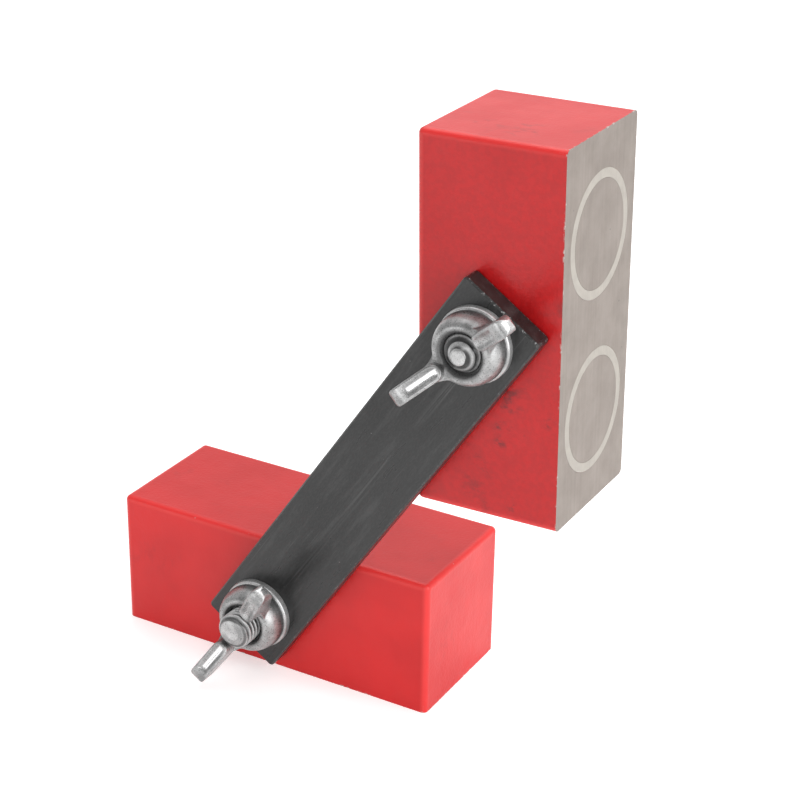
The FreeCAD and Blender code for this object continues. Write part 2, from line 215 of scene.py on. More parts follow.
class Surface(Graph):
    """One material and the patterns that its finish is made of."""

    def __init__(self, name: str, place: Place = Place()) -> None:
        """Start an empty material.

        Args:
            name: Name of the material.
            place: Frame in which the patterns lie.
        """
        self.material = bpy.data.materials.new(name)
        self.material.use_nodes = True
        super().__init__(self.material.node_tree)
        coordinates = self.node("ShaderNodeTexCoord").outputs["Object"]
        self.local = self.node("ShaderNodeMapping", {"vector_type": "TEXTURE"},
                               {"Vector": coordinates, "Location": place.origin, "Rotation": place.turn})
        self.along, self.across, self.height = self.axes(self.local)

    def laid(self, shift: float, scale: Point) -> Node:
        """Give the piece's coordinates, moved and scaled for a pattern."""
        inputs = {"Vector": self.local, "Location": (shift,) * 3, "Scale": scale}
        return self.node("ShaderNodeMapping", {"vector_type": "POINT"}, inputs)

    def noise(self, size: float, stretch: float = 1.0, tall: float = 1.0, detail: float = 2.0,
              shift: float = 0.0, roughness: float = 0.5) -> Signal:
        """Add a noise pattern.

        Args:
            size: Width of its spots.
            stretch: How much longer they are along the piece.
            tall: How much taller they are.
            detail: Octaves of finer noise.
            shift: Offset that makes the pattern differ from others.
            roughness: Strength of the finer noise.

        Returns:
            The noise, about 0.5 on average.
        """
        place = self.laid(shift, (1 / (size * stretch), 1 / size, 1 / (size * tall)))
        inputs = {"Vector": place, "Scale": 1.0, "Detail": detail, "Roughness": roughness}
        return self.signal("ShaderNodeTexNoise", {"noise_dimensions": "3D"}, inputs)

    def specks(self, size: float, shift: float = 0.0) -> Signal:
        """Give the distance to the nearest of scattered points, as a share of the size between them."""
        place = self.laid(shift, (1 / size,) * 3)
        return self.signal("ShaderNodeTexVoronoi", {"feature": "F1"}, {"Vector": place, "Scale": 1.0})

    def mix(self, share: Value, first: Input, second: Input) -> NodeSocket:
        """Blend from a first colour to a second one by a share."""
        settings = {"data_type": "RGBA", "clamp_factor": True}
        return self.node("ShaderNodeMix", settings, {"Factor": share, 6: first, 7: second}).outputs[2]

    def bump(self, height: Value, depth: float, below: Input = (0.0, 0.0, 0.0)) -> Node:
        """Add relief from a height of 0 to 1 and a depth in metres, over the relief below it."""
        inputs = {"Strength": 1.0, "Distance": depth, "Height": height, "Normal": below}
        return self.node("ShaderNodeBump", inputs=inputs)

    def shade(self, **sockets: Input) -> Node:
        """Add the surface shader, with its sockets by name and _ for each space."""
        inputs = {name.replace("_", " "): value for name, value in sockets.items()}
        return self.node("ShaderNodeBsdfPrincipled", inputs=inputs)

    def finish(self, shader: Node) -> Material:
        """Connect the last shader and give the material."""
        self.node("ShaderNodeOutputMaterial", inputs={"Surface": shader})
        return self.material


def near_edge(first: Signal, second: Signal, third: Signal) -> Signal:
    """Give the middle one of three distances to faces, which is small only near an edge."""
    return first.least(second).most(first.most(second).least(third))


class Finish:
    """A finish that can be laid on any piece."""

    def shader(self, surface: Surface) -> Node:
        """Add the finish's nodes to a material and give its shader node."""
        raise NotImplementedError

    def build(self, name: str, place: Place) -> Material:
        """Build a material from a name and the piece's own frame."""
        surface = Surface(name, place)
        return surface.finish(self.shader(surface))


@dataclass(frozen=True)
class GroundSteel(Finish):
    """Bare steel, ground along the block."""

    light: Colour = srgb(150, 141, 134)
    dark: Colour = srgb(126, 117, 110)
    pit: Colour = grey(70)
    primer: Colour = srgb(186, 180, 175)

    def shader(self, surface: Surface, spill: Value = 0.0) -> Node:
        """Add the ground steel.

        Args:
            surface: The material.
            spill: Where primer has run over the edge.

        Returns:
            The steel's shader node.
        """
        lines = surface.noise(0.16 * MM, 260.0, detail=3.0)
        broad = surface.noise(1.1 * MM, 45.0, detail=3.0, shift=2.0)
        stain = surface.noise(9 * MM, detail=5.0, shift=4.0, roughness=0.6)
        brushed = lines.fade(0.25, 0.75) * 0.32 + broad.spread() * 0.2 + stain.spread() * 0.48
        pits = surface.specks(7.5 * MM, shift=9.0).fade(0.05, 0.02)
        colour = surface.mix(brushed, self.dark, self.light)
        colour = surface.mix(pits * 0.5, colour, self.pit)
        colour = surface.mix(spill, colour, self.primer)
        return surface.shade(Base_Color=colour, Metallic=0.85, Roughness=lines.spread(0.42, 0.56),
                             Normal=surface.bump(lines, 0.012 * MM))


class Smudge(NamedTuple):
    """A dirty spot on a block's -Y face, in the block's own frame."""

    along: float
    height: float
    reach: float


UPPER_SMUDGES = tuple(Smudge(along * MM, height * MM, reach * MM) for along, height, reach in (
    (-15.8, 14.3, 6.0), (-24.4, 15.6, 3.5), (-24.0, 10.9, 3.0),
    (-20.2, 2.6, 2.5), (-46.0, 13.0, 3.5), (-28.8, 16.3, 2.5)))


@dataclass(frozen=True)
class RedPaint(Finish):
    """Glossy red paint on a steel block, with its working face, on height 0, ground bare."""

    length: float
    depth: float
    height: float
    # How much painted shade darkens the paint; it also makes the dirty zones stronger.
    shade_and_dirt: float = 0.0
    smudges: tuple[Smudge, ...] = ()
    colour: Colour = srgb(208, 18, 20)
    deep_colour: Colour = srgb(196, 14, 17)
    # A shaded copy of the red: painted shade on the upper block.
    shaded_colour: Colour = srgb(158, 16, 20)
    # A lighter red for the painted highlight along the rounded edges.
    edge_highlight_colour: Colour = srgb(226, 62, 60)
    smudge_colour: Colour = srgb(84, 24, 27)
    steel: GroundSteel = GroundSteel()
    chip_width: float = 0.55 * MM
    corner_reach: float = 3.0 * MM
    nick_reach: float = 0.9 * MM
    spill_width: float = 0.5 * MM
    bare_height: float = 0.06 * MM
    # Width of the painted highlight along the edges.
    edge_highlight_width: float = 2.2 * MM
    # Close to the end faces the painted shade fades out, so they stay lit.
    unshaded_end: float = 1.6 * MM
    peel_size: float = 1.0 * MM
    peel_depth: float = 0.06 * MM
    wave_depth: float = 0.12 * MM

    def shader(self, surface: Surface) -> Node:
        """Lay the worn paint over the ground steel.

        Args:
            surface: The block's material.

        Returns:
            The shader node of both.
        """
        to_end = self.length / 2 - abs(surface.along)
        to_side = self.depth / 2 - abs(surface.across)
        edge = near_edge(to_end, to_side, self.height - surface.height)

        ragged = surface.noise(1.4 * MM, detail=4.0, shift=3.0)
        patches = surface.noise(9 * MM, detail=1.0, shift=12.0).fade(0.46, 0.62)
        patches = patches.most(to_end.fade(self.corner_reach, self.corner_reach * 0.4))
        chipped = ragged.fade(0.52, 0.64) * surface.height.fade(self.chip_width, 0.0) * patches
        nicks = surface.noise(3.0 * MM, detail=3.0, shift=9.0).fade(0.66, 0.7)
        worn = nicks * edge.fade(self.nick_reach, 0.5 * MM)
        bare = surface.height.fade(self.bare_height, self.bare_height / 2)
        spill = ragged.fade(0.60, 0.66) * to_end.least(to_side).fade(self.spill_width, 0.1 * MM)

        cloud = surface.noise(22 * MM, detail=3.0, shift=1.0)
        mottle = surface.noise(1.5 * MM, detail=4.0, shift=14.0, roughness=0.6)
        # Painted shade: the paint darkened and mottled all over, except close to the end faces.
        painted_shade = self.shade_and_dirt * (0.72 + mottle.fade(0.35, 0.65) * 0.36)
        grime_and_shade = surface.noise(3.2 * MM, tall=1.6, detail=5.0, shift=5.0, roughness=0.65)
        colour = surface.mix(cloud.spread(), self.colour, self.deep_colour)
        colour = surface.mix(painted_shade * to_end.fade(0.3 * MM, self.unshaded_end), colour, self.shaded_colour)
        # Painted highlight: a lighter band along every rounded edge.
        colour = surface.mix(edge.fade(self.edge_highlight_width, 0.7 * MM) * 0.55, colour, self.edge_highlight_colour)
        colour = surface.mix(grime_and_shade.fade(0.47, 0.66) * self.dirty(surface), colour, self.smudge_colour)
        colour = surface.mix(chipped.most(worn * 0.4), colour, self.steel.primer)

        peel = surface.noise(self.peel_size, shift=6.0, roughness=0.6)
        wave = surface.noise(7 * MM, detail=1.0, shift=8.0)
        relief = surface.bump(wave, self.wave_depth, surface.bump(peel, self.peel_depth))
        paint = surface.shade(Base_Color=colour, Roughness=cloud.spread(0.30, 0.38), IOR=1.45, Normal=relief)
        steel = self.steel.shader(surface, spill)
        return surface.node("ShaderNodeMixShader", inputs={0: bare, 1: paint, 2: steel})

    def dirty(self, surface: Surface) -> Signal:
        """Give how dirty each place is: faint zones all over, and the smudges.

        Args:
            surface: The block's material.

        Returns:
            The strength of the dirt, 0 to 1.
        """
        # The amount of painted shade also makes the faint dirty zones stronger.
        faint = 0.12 + self.shade_and_dirt * 0.45
        zone = surface.noise(17 * MM, detail=1.0, shift=7.0).fade(0.56, 0.70) * faint
        to_front = surface.across.fade(0.0, -self.depth / 2)
        for smudge in self.smudges:
            away = (surface.along - smudge.along).distance(surface.height - smudge.height)
            zone = zone.most(away.fade(smudge.reach, smudge.reach * 0.3) * to_front * 0.85)
        return zone


@dataclass(frozen=True)
class SpacerMetal(Finish):
    """Pale matt metal of the rings between the poles and the block."""

    light: Colour = srgb(172, 166, 158)
    dark: Colour = srgb(154, 148, 140)

    def shader(self, surface: Surface) -> Node:
        """Add the finish and give its shader node."""
        lines = surface.noise(0.2 * MM, 60.0, detail=3.0)
        blotch = surface.noise(2.6 * MM, detail=3.0, shift=2.0)
        colour = surface.mix(lines.spread() * 0.4 + blotch.spread() * 0.6, self.dark, self.light)
        return surface.shade(Base_Color=colour, Metallic=0.35, Roughness=blotch.spread(0.5, 0.62),
                             Normal=surface.bump(lines, 0.01 * MM))


@dataclass(frozen=True)
class MagnetNickel(Finish):
    """Bright nickel on the magnets inside the blocks."""

    light: Colour = srgb(205, 202, 196)
    dark: Colour = srgb(176, 172, 166)

    def shader(self, surface: Surface) -> Node:
        """Add the finish and give its shader node."""
        cloud = surface.noise(4 * MM, detail=3.0)
        colour = surface.mix(cloud.spread(), self.dark, self.light)
        return surface.shade(Base_Color=colour, Metallic=1.0, Roughness=cloud.spread(0.18, 0.3))


@dataclass(frozen=True)
class BlackenedSteel(Finish):
    """Satin black steel with mill marks, scratches and edges worn bright.

    Its frame has the first hole's centre on the back face as its origin, and runs along the bar.
    """

    length: float
    width: float
    thickness: float
    hole_inset: float
    colour: Colour = grey(37)
    deep_colour: Colour = grey(27)
    haze: Colour = grey(74)
    bright: Colour = grey(178)
    streak_off_middle: float = 1.5 * MM
    streak_half: float = 1.6 * MM
    rub_width: float = 0.75 * MM

    def shader(self, surface: Surface) -> Node:
        """Add the black, its marks and its rubbed edges.

        Args:
            surface: The bar's material.

        Returns:
            The shader node.
        """
        to_end = self.length / 2 - abs(surface.along - (self.length / 2 - self.hole_inset))
        to_side = self.width / 2 - abs(surface.across)
        to_face = surface.height.least(self.thickness - surface.height)
        edge = near_edge(to_end, to_side, to_face)

        mill = surface.noise(2.2 * MM, 7.0, detail=5.0, roughness=0.6)
        cloud = surface.noise(14 * MM, 2.0, detail=3.0, shift=2.0)
        grain = surface.noise(0.35 * MM, 3.0, shift=3.0)
        colour = surface.mix(cloud.spread(), self.colour, self.deep_colour)
        colour = surface.mix(mill.fade(0.48, 0.72) * 0.35, colour, self.haze)
        colour = surface.mix(grain.fade(0.35, 0.75) * 0.18, colour, self.haze)

        strokes = surface.noise(0.45 * MM, 70.0, detail=1.0, shift=5.0)
        zone = surface.noise(26 * MM, detail=1.0, shift=6.0).fade(0.5, 0.62)
        colour = surface.mix(strokes.fade(0.66, 0.72) * zone * 0.5, colour, self.haze)
        from_streak = abs(surface.across + self.streak_off_middle)
        streak = from_streak.fade(self.streak_half, 0.2 * MM) * strokes.fade(0.42, 0.62)
        stretch = surface.noise(11 * MM, 2.2, detail=1.0, shift=9.0).fade(0.42, 0.6)
        colour = surface.mix(streak * stretch * 0.6, colour, self.haze)
        dust = surface.specks(3.4 * MM, shift=3.0).fade(0.05, 0.02) * mill.fade(0.45, 0.6)
        colour = surface.mix(dust * 0.8, colour, self.bright)

        rub = surface.noise(0.9 * MM, detail=4.0, shift=7.0, roughness=0.7)
        rubbed_and_highlight = rub.fade(0.56, 0.66) * edge.fade(self.rub_width, self.rub_width / 3)
        last = self.length - self.hole_inset
        rubbed_and_highlight = rubbed_and_highlight * (0.18 + surface.along.fade(last - 1.6 * MM, last - 0.6 * MM) * 0.8)
        colour = surface.mix(rubbed_and_highlight, colour, self.bright)

        relief = surface.bump(grain, 0.012 * MM, surface.bump(mill, 0.03 * MM))
        return surface.shade(Base_Color=colour, Metallic=rubbed_and_highlight * 0.6, Roughness=mill.spread(0.27, 0.37),
                             IOR=1.45, Normal=relief)


class ZincWork(Enum):
    """How a zinc-plated piece was made, with the size and depth of its grain in metres."""

    CAST = (0.42 * MM, 0.035 * MM)
    ROLLED = (0.30 * MM, 0.014 * MM)
    THREADED = (0.22 * MM, 0.010 * MM)


class FlankHighlight(NamedTuple):
    """Where a highlight is painted on the inner flanks of two wings, out from the axis."""

    half_width: float
    start: float
    stop: float
    lowest: float = 2.0 * MM
    steepness: float = 0.4
    tip_start: float = 3.6 * MM
    tip_full: float = 4.7 * MM


@dataclass(frozen=True)
class ZincPlate(Finish):
    """Dull bright zinc plate.

    The darker ring has four radii: where it begins, is full, still is full and is gone. It is
    painted shade in a recess, with soiling mottled through it. The base ring is the height and
    the radius over which the foot of a hub is darkened: painted shade where it sits on the washer.
    """

    work: ZincWork
    light: Colour = grey(172)
    dark: Colour = grey(122)
    # Colour of the dirty specks and of the rings of painted shade.
    dirt_and_shade: Colour = grey(62)
    # Colour of the painted shade in the thread grooves.
    groove_shade_colour: Colour = grey(34)
    # Colour of the painted highlight on the wings.
    highlight_colour: Colour = grey(234)
    # Radii of a ring darkened as painted shade, with soiling mottled through it.
    shade_and_dirt_radii: Radii | None = None
    thread_pitch: float = 0.0
    # How dark the thread grooves are painted, as shade.
    groove_shade: float = 0.0
    thread_root: float = 1.9 * MM
    # Height and radius of the painted shade round the foot of a hub.
    base_shade: Pair | None = None
    flank_highlight: FlankHighlight | None = None
    cloud_depth: float = 0.03 * MM

    def shader(self, surface: Surface) -> Node:
        """Add the plate, its specks of soiling, its painted shade and its painted highlights.

        Args:
            surface: The piece's material.

        Returns:
            The shader node.
        """
        size, depth = self.work.value
        grain = surface.noise(size, detail=3.0, roughness=0.6)
        cloud = surface.noise(3.5 * MM, detail=3.0, shift=2.0)
        spots = surface.specks(1.9 * MM, shift=4.0)
        colour = surface.mix(cloud.spread(), self.dark, self.light)
        colour = surface.mix(grain.fade(0.62, 0.42) * 0.35, colour, self.dark)
        colour = surface.mix(spots.fade(0.16, 0.06) * 0.55, colour, self.dirt_and_shade)
        radius = surface.along.distance(surface.across)
        if self.thread_pitch:
            turns = surface.height / self.thread_pitch - surface.along.bearing(surface.across) / tau
            groove = (abs(turns.part() - 0.5) * 2).fade(0.8, 0.35)
            groove = groove * radius.fade(self.thread_root, self.thread_root + 0.3 * MM)
            # Painted shade: the thread grooves darkened along the helix, broken up by the cloud.
            groove_shading = groove * cloud.fade(0.3, 0.5, 0.6, 1.0) * self.groove_shade
            colour = surface.mix(groove_shading, colour, self.groove_shade_colour)
        if self.base_shade:
            low, wide = self.base_shade
            # Painted shade round the foot of the hub, where it sits on the washer.
            ring = surface.height.fade(low, low * 0.5) * radius.fade(wide - 1.0 * MM, wide)
            colour = surface.mix(ring * 0.7, colour, self.dirt_and_shade)
        if self.shade_and_dirt_radii:
            begin, full, still, gone = self.shade_and_dirt_radii
            # Painted shade: a ring by radius darkened, in the nut's mouth and in the stud's thread roots and
            # round its end, broken up by the cloud; in the mouth it stands for soiling too.
            dirty = radius.fade(begin, full) * radius.fade(gone, still) * cloud.fade(0.25, 0.55, 0.6, 1.0)
            colour = surface.mix(dirty * 0.8, colour, self.dirt_and_shade)
        bright: Value = 0.0
        if self.flank_highlight:
            # Painted highlight: a bright streak down each wing's flank and on one tip, also smoother and
            # more metallic there.
            bright = self.rubbed_and_highlight(surface, self.flank_highlight)
            colour = surface.mix(bright * 0.9, colour, self.highlight_colour)
        relief = surface.bump(cloud, self.cloud_depth, surface.bump(grain * (1.0 - bright), depth))
        return surface.shade(Base_Color=colour, Metallic=0.55 + bright * 0.4,
                             Roughness=grain.spread(0.25, 0.38) - bright * 0.08, Normal=relief)

    @staticmethod
    def rubbed_and_highlight(surface: Surface, at: FlankHighlight) -> Signal:
        """Give where a highlight is painted on the wings: one flank, a little of the other, and one tip.

        Args:
            surface: The nut's material.
            at: Sizes of the painted highlights.

        Returns:
            The mask.
        """
        out, off = abs(surface.along), abs(surface.across)
        flank = off.fade(at.half_width, at.half_width * 0.55) * out.fade(at.start, at.start + 0.5 * MM)
        flank = flank * out.fade(at.stop, at.stop - 0.4 * MM)
        flank = flank * (surface.height - out * at.steepness).fade(at.lowest, at.lowest + 1.0 * MM)
        flank = flank * surface.along.fade(2.0 * MM, -2.0 * MM, 0.2, 1.0)
        tip = surface.along.fade(at.stop + at.tip_start, at.stop + at.tip_full)
        return flank.most(tip * off.fade(at.half_width * 2.0, at.half_width) * 0.7)


def dress(node: Object, material: Material) -> None:
    """Give a solid its only material."""
    node.data.materials.clear()
    node.data.materials.append(material)


def show(name: str, data: Mesh | Light | Camera) -> Object:
    """Put a mesh in the part's frame, a light or a camera into the scene."""
    data.name = name
    item = bpy.data.objects.new(name, data)
    bpy.context.scene.collection.objects.link(item)
    return item


def baked(piece: Object) -> None:
    """Turn a piece's modifiers into a plain mesh."""
    graph = bpy.context.evaluated_depsgraph_get()
    mesh = bpy.data.meshes.new_from_object(piece.evaluated_get(graph))
    piece.modifiers.clear()
    piece.data = mesh
    mesh.name = piece.name


def stud_axis(level: str) -> Vector:
    """Give the middle of a stud's box, which lies on its axis."""
    low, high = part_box(f"{level}_stud")
    return (low + high) / 2


@dataclass
class MagnetBlock:
    """One painted block with its two magnets, poles and rings."""

    frame: dict[str, Any]
    level: str
    sides: tuple[str, str]
    length: float
    depth: float
    height: float
    shade_and_dirt: float = 0.0
    smudges: tuple[Smudge, ...] = ()

    def place(self) -> Place:
        """Give the block's own frame, in which it stands on its working face.

        Returns:
            The frame.
        """
        mounts = {mount["name"]: mount for mount in self.frame["record"]["mounts"]}
        mount = mounts[f"{self.level}_working_face"]
        inwards = -Vector(mount["axis"])
        return Place(tuple(mount["pos_m"]), (0.0, atan2(inwards.x, inwards.z), 0.0))

    def build(self) -> None:
        """Dress the block and what is let into it."""
        nodes, place = self.frame["nodes"], self.place()
        paint = RedPaint(self.length, self.depth, self.height, self.shade_and_dirt, self.smudges)
        dress(nodes[f"{self.level}_block"], paint.build(f"{self.level}_red_paint", place))
        finishes = {
            "pole": GroundSteel().build(f"{self.level}_ground_steel", place),
            "spacer_ring": SpacerMetal().build(f"{self.level}_spacer_metal", place),
            "magnet": MagnetNickel().build(f"{self.level}_magnet_nickel", place),
        }
        for side in self.sides:
            for kind, material in finishes.items():
                dress(nodes[f"{self.level}_{kind}_{side}"], material)
        LOG.info("%s block dressed", self.level)


@dataclass
class LinkBar:
    """The flat bar between the two studs."""

    frame: dict[str, Any]
    length: float = 140 * MM
    width: float = 25 * MM
    thickness: float = 6 * MM
    hole_inset: float = 12 * MM

    def build(self) -> None:
        """Dress the bar in its own frame."""
        start, end = stud_axis("lower"), stud_axis("upper")
        rise = atan2(end.z - start.z, end.x - start.x)
        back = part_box("link_bar")[1].y
        turn = Matrix.Rotation(pi / 2, 3, "X") @ Matrix.Rotation(rise, 3, "Z")
        place = Place((start.x, back, start.z), tuple(turn.to_euler()))
        steel = BlackenedSteel(self.length, self.width, self.thickness, self.hole_inset)
        dress(self.frame["nodes"]["link_bar"], steel.build("blackened_steel", place))
        LOG.info("link bar dressed")


@dataclass
class StudPiece:
    """A zinc-plated piece on the axis of one stud."""

    level: str

    def place(self, solid: str) -> Place:
        """Give the frame of a solid: its inner end's middle, with Z out along the stud."""
        axis, back = stud_axis(self.level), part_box(f"{self.level}_{solid}")[1].y
        return Place((axis.x, back, axis.z), (pi / 2, 0.0, 0.0))

    def extent(self, solid: str) -> Pair:
        """Give the radius and the length of a round solid."""
        low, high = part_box(f"{self.level}_{solid}")
        return (high.x - low.x) / 2, high.y - low.y

    def hand_over(self, piece: Object, body: str, solid: str) -> None:
        """Let a finished piece ride on its body in place of its solid.

        Args:
            piece: The piece.
            body: Its body, without the level.
            solid: The solid that it replaces, without the level.
        """
        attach(piece, f"{self.level}_{body}")
        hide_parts(f"{self.level}_{solid}")
        LOG.info("%s: %d faces", piece.name, len(piece.data.polygons))


@dataclass
class ThreadedStud(StudPiece):
    """A stud with its thread cut, from its inner end to its free end."""

    tip_radius: float
    tip_length: float
    # How dark the thread grooves are painted, as shade.
    grime_and_shade: float
    pitch: float = 1.5 * MM
    thread_depth: float = 0.9 * MM
    chamfer: float = 0.9 * MM
    turn_segments: int = 64
    rows_a_pitch: int = 14
    # Shares of the crest radius for the ring darkened as painted shade in the thread roots.
    groove_shade_shares: Radii = (0.70, 0.80, 0.86, 0.94)
    sharp_angle: float = radians(50)

    def build(self) -> None:
        """Make the threaded stud and hand it over."""
        crest, length = self.extent("stud")
        place = self.place("stud")
        finish = ZincPlate(ZincWork.THREADED, light=grey(196), dark=grey(150),
                           shade_and_dirt_radii=tuple(crest * share for share in self.groove_shade_shares),
                           thread_pitch=self.pitch, groove_shade=self.grime_and_shade)
        sizes = {"Length": length, "Crest radius": crest, "Thread depth": self.thread_depth,
                 "Pitch": self.pitch, "Chamfer": self.chamfer, "Tip radius": self.tip_radius,
                 "Tip length": self.tip_length, "Rows": int(length / self.pitch * self.rows_a_pitch),
                 "Turn segments": self.turn_segments}
        tree = self.thread_tree(finish.build(f"{self.level}_stud_zinc", place), sizes)
        piece = show(f"{self.level}_threaded_stud", bpy.data.meshes.new("blank"))
        modifier = piece.modifiers.new("thread", "NODES")
        modifier.node_group = tree
        for item in tree.interface.items_tree:
            if item.name in sizes:
                modifier[item.identifier] = sizes[item.name]
        baked(piece)
        piece.data.transform(place.matrix())
        piece.data.set_sharp_from_angle(angle=self.sharp_angle)
        self.hand_over(piece, "magnet_block", "stud")

    def thread_tree(self, material: Material, sizes: Mapping[str, float]) -> NodeTree:
        """Make the node tree that turns a grid into a threaded rod on +Z.

        The first and last rows of the grid close the ends on the axis. The next ones are the rims.

        Args:
            material: Finish of the rod.
            sizes: The tree's inputs, in the order in which they are read.

        Returns:
            The geometry node tree.
        """
        tree = bpy.data.node_groups.new(f"{self.level}_thread", "GeometryNodeTree")
        graph = Graph(tree)
        for name, value in sizes.items():
            kind = "NodeSocketInt" if isinstance(value, int) else "NodeSocketFloat"
            tree.interface.new_socket(name, in_out="INPUT", socket_type=kind)
        tree.interface.new_socket("Geometry", in_out="OUTPUT", socket_type="NodeSocketGeometry")
        given = graph.node("NodeGroupInput").outputs
        length, crest, depth, pitch, chamfer, tip_radius, tip_length, rows, segments = (
            Signal(graph, given[name]) for name in sizes)

        grid = graph.node("GeometryNodeMeshGrid", inputs={
            "Size X": 1.0, "Size Y": 1.0, "Vertices X": rows, "Vertices Y": segments + 1})
        x, y, _ = graph.axes(graph.node("GeometryNodeInputPosition"))
        row, turn = (x + 0.5) * (rows - 1), y + 0.5
        height = ((row - 1) / (rows - 3)).most(0.0).least(1.0) * length

        ridge = abs((height / pitch - turn).part() - 0.5) * 2
        groove = (1.0 - ridge.fade(0.12, 0.80)) * depth
        shoulder = crest - chamfer
        to_end = length - height
        taper = tip_radius + (shoulder - tip_radius) * (to_end / tip_length.most(1e-6))
        bevel = shoulder + (to_end - tip_length).least(chamfer).most(0.0)
        envelope = taper.least(bevel).least(shoulder + height)
        inner_rows = row.above(0.5) * (rows - 1.5).above(row)
        radius = (crest - groove).least(envelope - groove * 0.55) * inner_rows

        angle = turn * tau
        spot = graph.node("ShaderNodeCombineXYZ",
                          inputs={0: angle.cosine() * radius, 1: angle.sine() * radius, 2: height})
        shape = graph.node("GeometryNodeSetPosition", inputs={"Geometry": grid, "Position": spot})
        steps = (("GeometryNodeMergeByDistance", {"Distance": 1e-6}),
                 ("GeometryNodeSetShadeSmooth", {"Shade Smooth": True}),
                 ("GeometryNodeRealizeInstances", {}),
                 ("GeometryNodeSetMaterial", {"Material": material}),
                 ("NodeGroupOutput", {}))
        for kind, inputs in steps:
            shape = graph.node(kind, inputs={0: shape, **inputs})
        return tree


@dataclass
class Washer(StudPiece):
    """A washer with a rolled rim."""

    hole_clearance: float = 0.25 * MM
    rim_radius: float = 0.75 * MM
    inner_radius: float = 0.25 * MM
    segments: int = 160
    arc_steps: int = 6

    def build(self) -> None:
        """Make the washer and hand it over."""
        rim, thick = self.extent("washer")
        hole = self.extent("stud")[0] + self.hole_clearance
        outer, inner = self.rim_radius, self.inner_radius
        profile = [(hole, 0.0), (rim, 0.0)]
        profile += arc((rim - outer, thick - outer), outer, 0.0, 90.0, self.arc_steps)
        profile += arc((hole + inner, thick - inner), inner, 90.0, 180.0, self.arc_steps)
        place = self.place("washer")
        mesh = turned(profile, self.segments, place)
        finish = ZincPlate(ZincWork.ROLLED, light=grey(186), dark=grey(150))
        piece = show(f"{self.level}_rolled_washer", mesh)
        dress(piece, finish.build(f"{self.level}_washer_zinc", place))
        self.hand_over(piece, "washer", "washer")


def arc(centre: Pair, radius: float, start: float, end: float, steps: int) -> list[Pair]:
    """Give the points along an arc from a start to an end in degrees."""
    angles = (radians(start + (end - start) * step / steps) for step in range(steps + 1))
    return [(centre[0] + radius * cos(a), centre[1] + radius * sin(a)) for a in angles]


def mesh_of(shape: bmesh.types.BMesh) -> Mesh:
    """Turn an edited shape into a mesh of its own."""
    mesh = bpy.data.meshes.new("shape")
    shape.to_mesh(mesh)
    shape.free()
    return mesh


def turned(profile: Sequence[Pair], segments: int, place: Place = Place()) -> Mesh:
    """Turn a closed profile about the Z axis of a frame.

    Args:
        profile: Radius and height of its corners. One stretch of it may lie on the axis.
        segments: Number of stretches round the axis.
        place: Where the axis lies in the part's frame.

    Returns:
        The closed mesh.
    """
    shape = bmesh.new()
    rings = []
    for step in range(segments):
        angle = tau * step / segments
        rings.append([shape.verts.new((r * cos(angle), r * sin(angle), h)) for r, h in profile])
    for step, ring in enumerate(rings):
        after = rings[(step + 1) % segments]
        for spot in range(len(profile)):
            ahead = (spot + 1) % len(profile)
            shape.faces.new((ring[spot], after[spot], after[ahead], ring[ahead]))
    bmesh.ops.remove_doubles(shape, verts=shape.verts, dist=1e-7)
    bmesh.ops.delete(shape, geom=[edge for edge in shape.edges if edge.is_wire], context="EDGES")
    bmesh.ops.recalc_face_normals(shape, faces=shape.faces)
    for face in shape.faces:
        face.smooth = True
    shape.transform(place.matrix())
    mesh = mesh_of(shape)
    mesh.set_sharp_from_angle(angle=radians(35))
    return mesh


def prism(outline: Sequence[Pair], low: float, high: float) -> Mesh:
    """Raise an outline into a closed solid.

    Args:
        outline: Corners in X and Y, anticlockwise.
        low: Height of its floor.
        high: Height of its lid.

    Returns:
        The closed mesh.
    """
    shape = bmesh.new()
    floor = [shape.verts.new((x, y, low)) for x, y in outline]
    lid = [shape.verts.new((x, y, high)) for x, y in outline]
    shape.faces.new(reversed(floor))
    shape.faces.new(lid)
    for spot in range(len(outline)):
        ahead = (spot + 1) % len(outline)
        shape.faces.new((floor[spot], floor[ahead], lid[ahead], lid[spot]))
    return mesh_of(shape)


def joined(*parts: Mesh) -> Mesh:
    """Put several meshes, with all their faces, into one."""
    shape = bmesh.new()
    for part in parts:
        shape.from_mesh(part)
    return mesh_of(shape)


def moved(mesh: Mesh, matrix: Matrix) -> Mesh:
    """Give a moved copy of a mesh."""
    copy = mesh.copy()
    copy.transform(matrix)
    return copy


def carved(body: Mesh, operation: str, tool: Mesh) -> Mesh:
    """Cut or trim a solid with another.

    Args:
        body: The solid.
        operation: DIFFERENCE or INTERSECT.
        tool: The other solid.

    Returns:
        The mesh that is left.
    """
    piece, holder = show("carved", body), show("tool", tool)
    cut = piece.modifiers.new("cut", "BOOLEAN")
    cut.operation, cut.solver, cut.object = operation, "EXACT", holder
    baked(piece)
    mesh = piece.data
    for item in (piece, holder):
        bpy.data.objects.remove(item)
    return mesh


def remeshed(mesh: Mesh, voxel: float, smoothing: int) -> Mesh:
    """Give closed solids that overlap one even skin, and smooth it.

    Args:
        mesh: The solids.
        voxel: Size of the skin's faces.
        smoothing: Rounds of smoothing.

    Returns:
        The new mesh.
    """
    piece = show("skin", mesh)
    skin = piece.modifiers.new("skin", "REMESH")
    skin.mode, skin.voxel_size, skin.use_smooth_shade = "VOXEL", voxel, True
    soften = piece.modifiers.new("soften", "SMOOTH")
    soften.factor, soften.iterations = 0.5, smoothing
    baked(piece)
    result = piece.data
    bpy.data.objects.remove(piece)
    return result


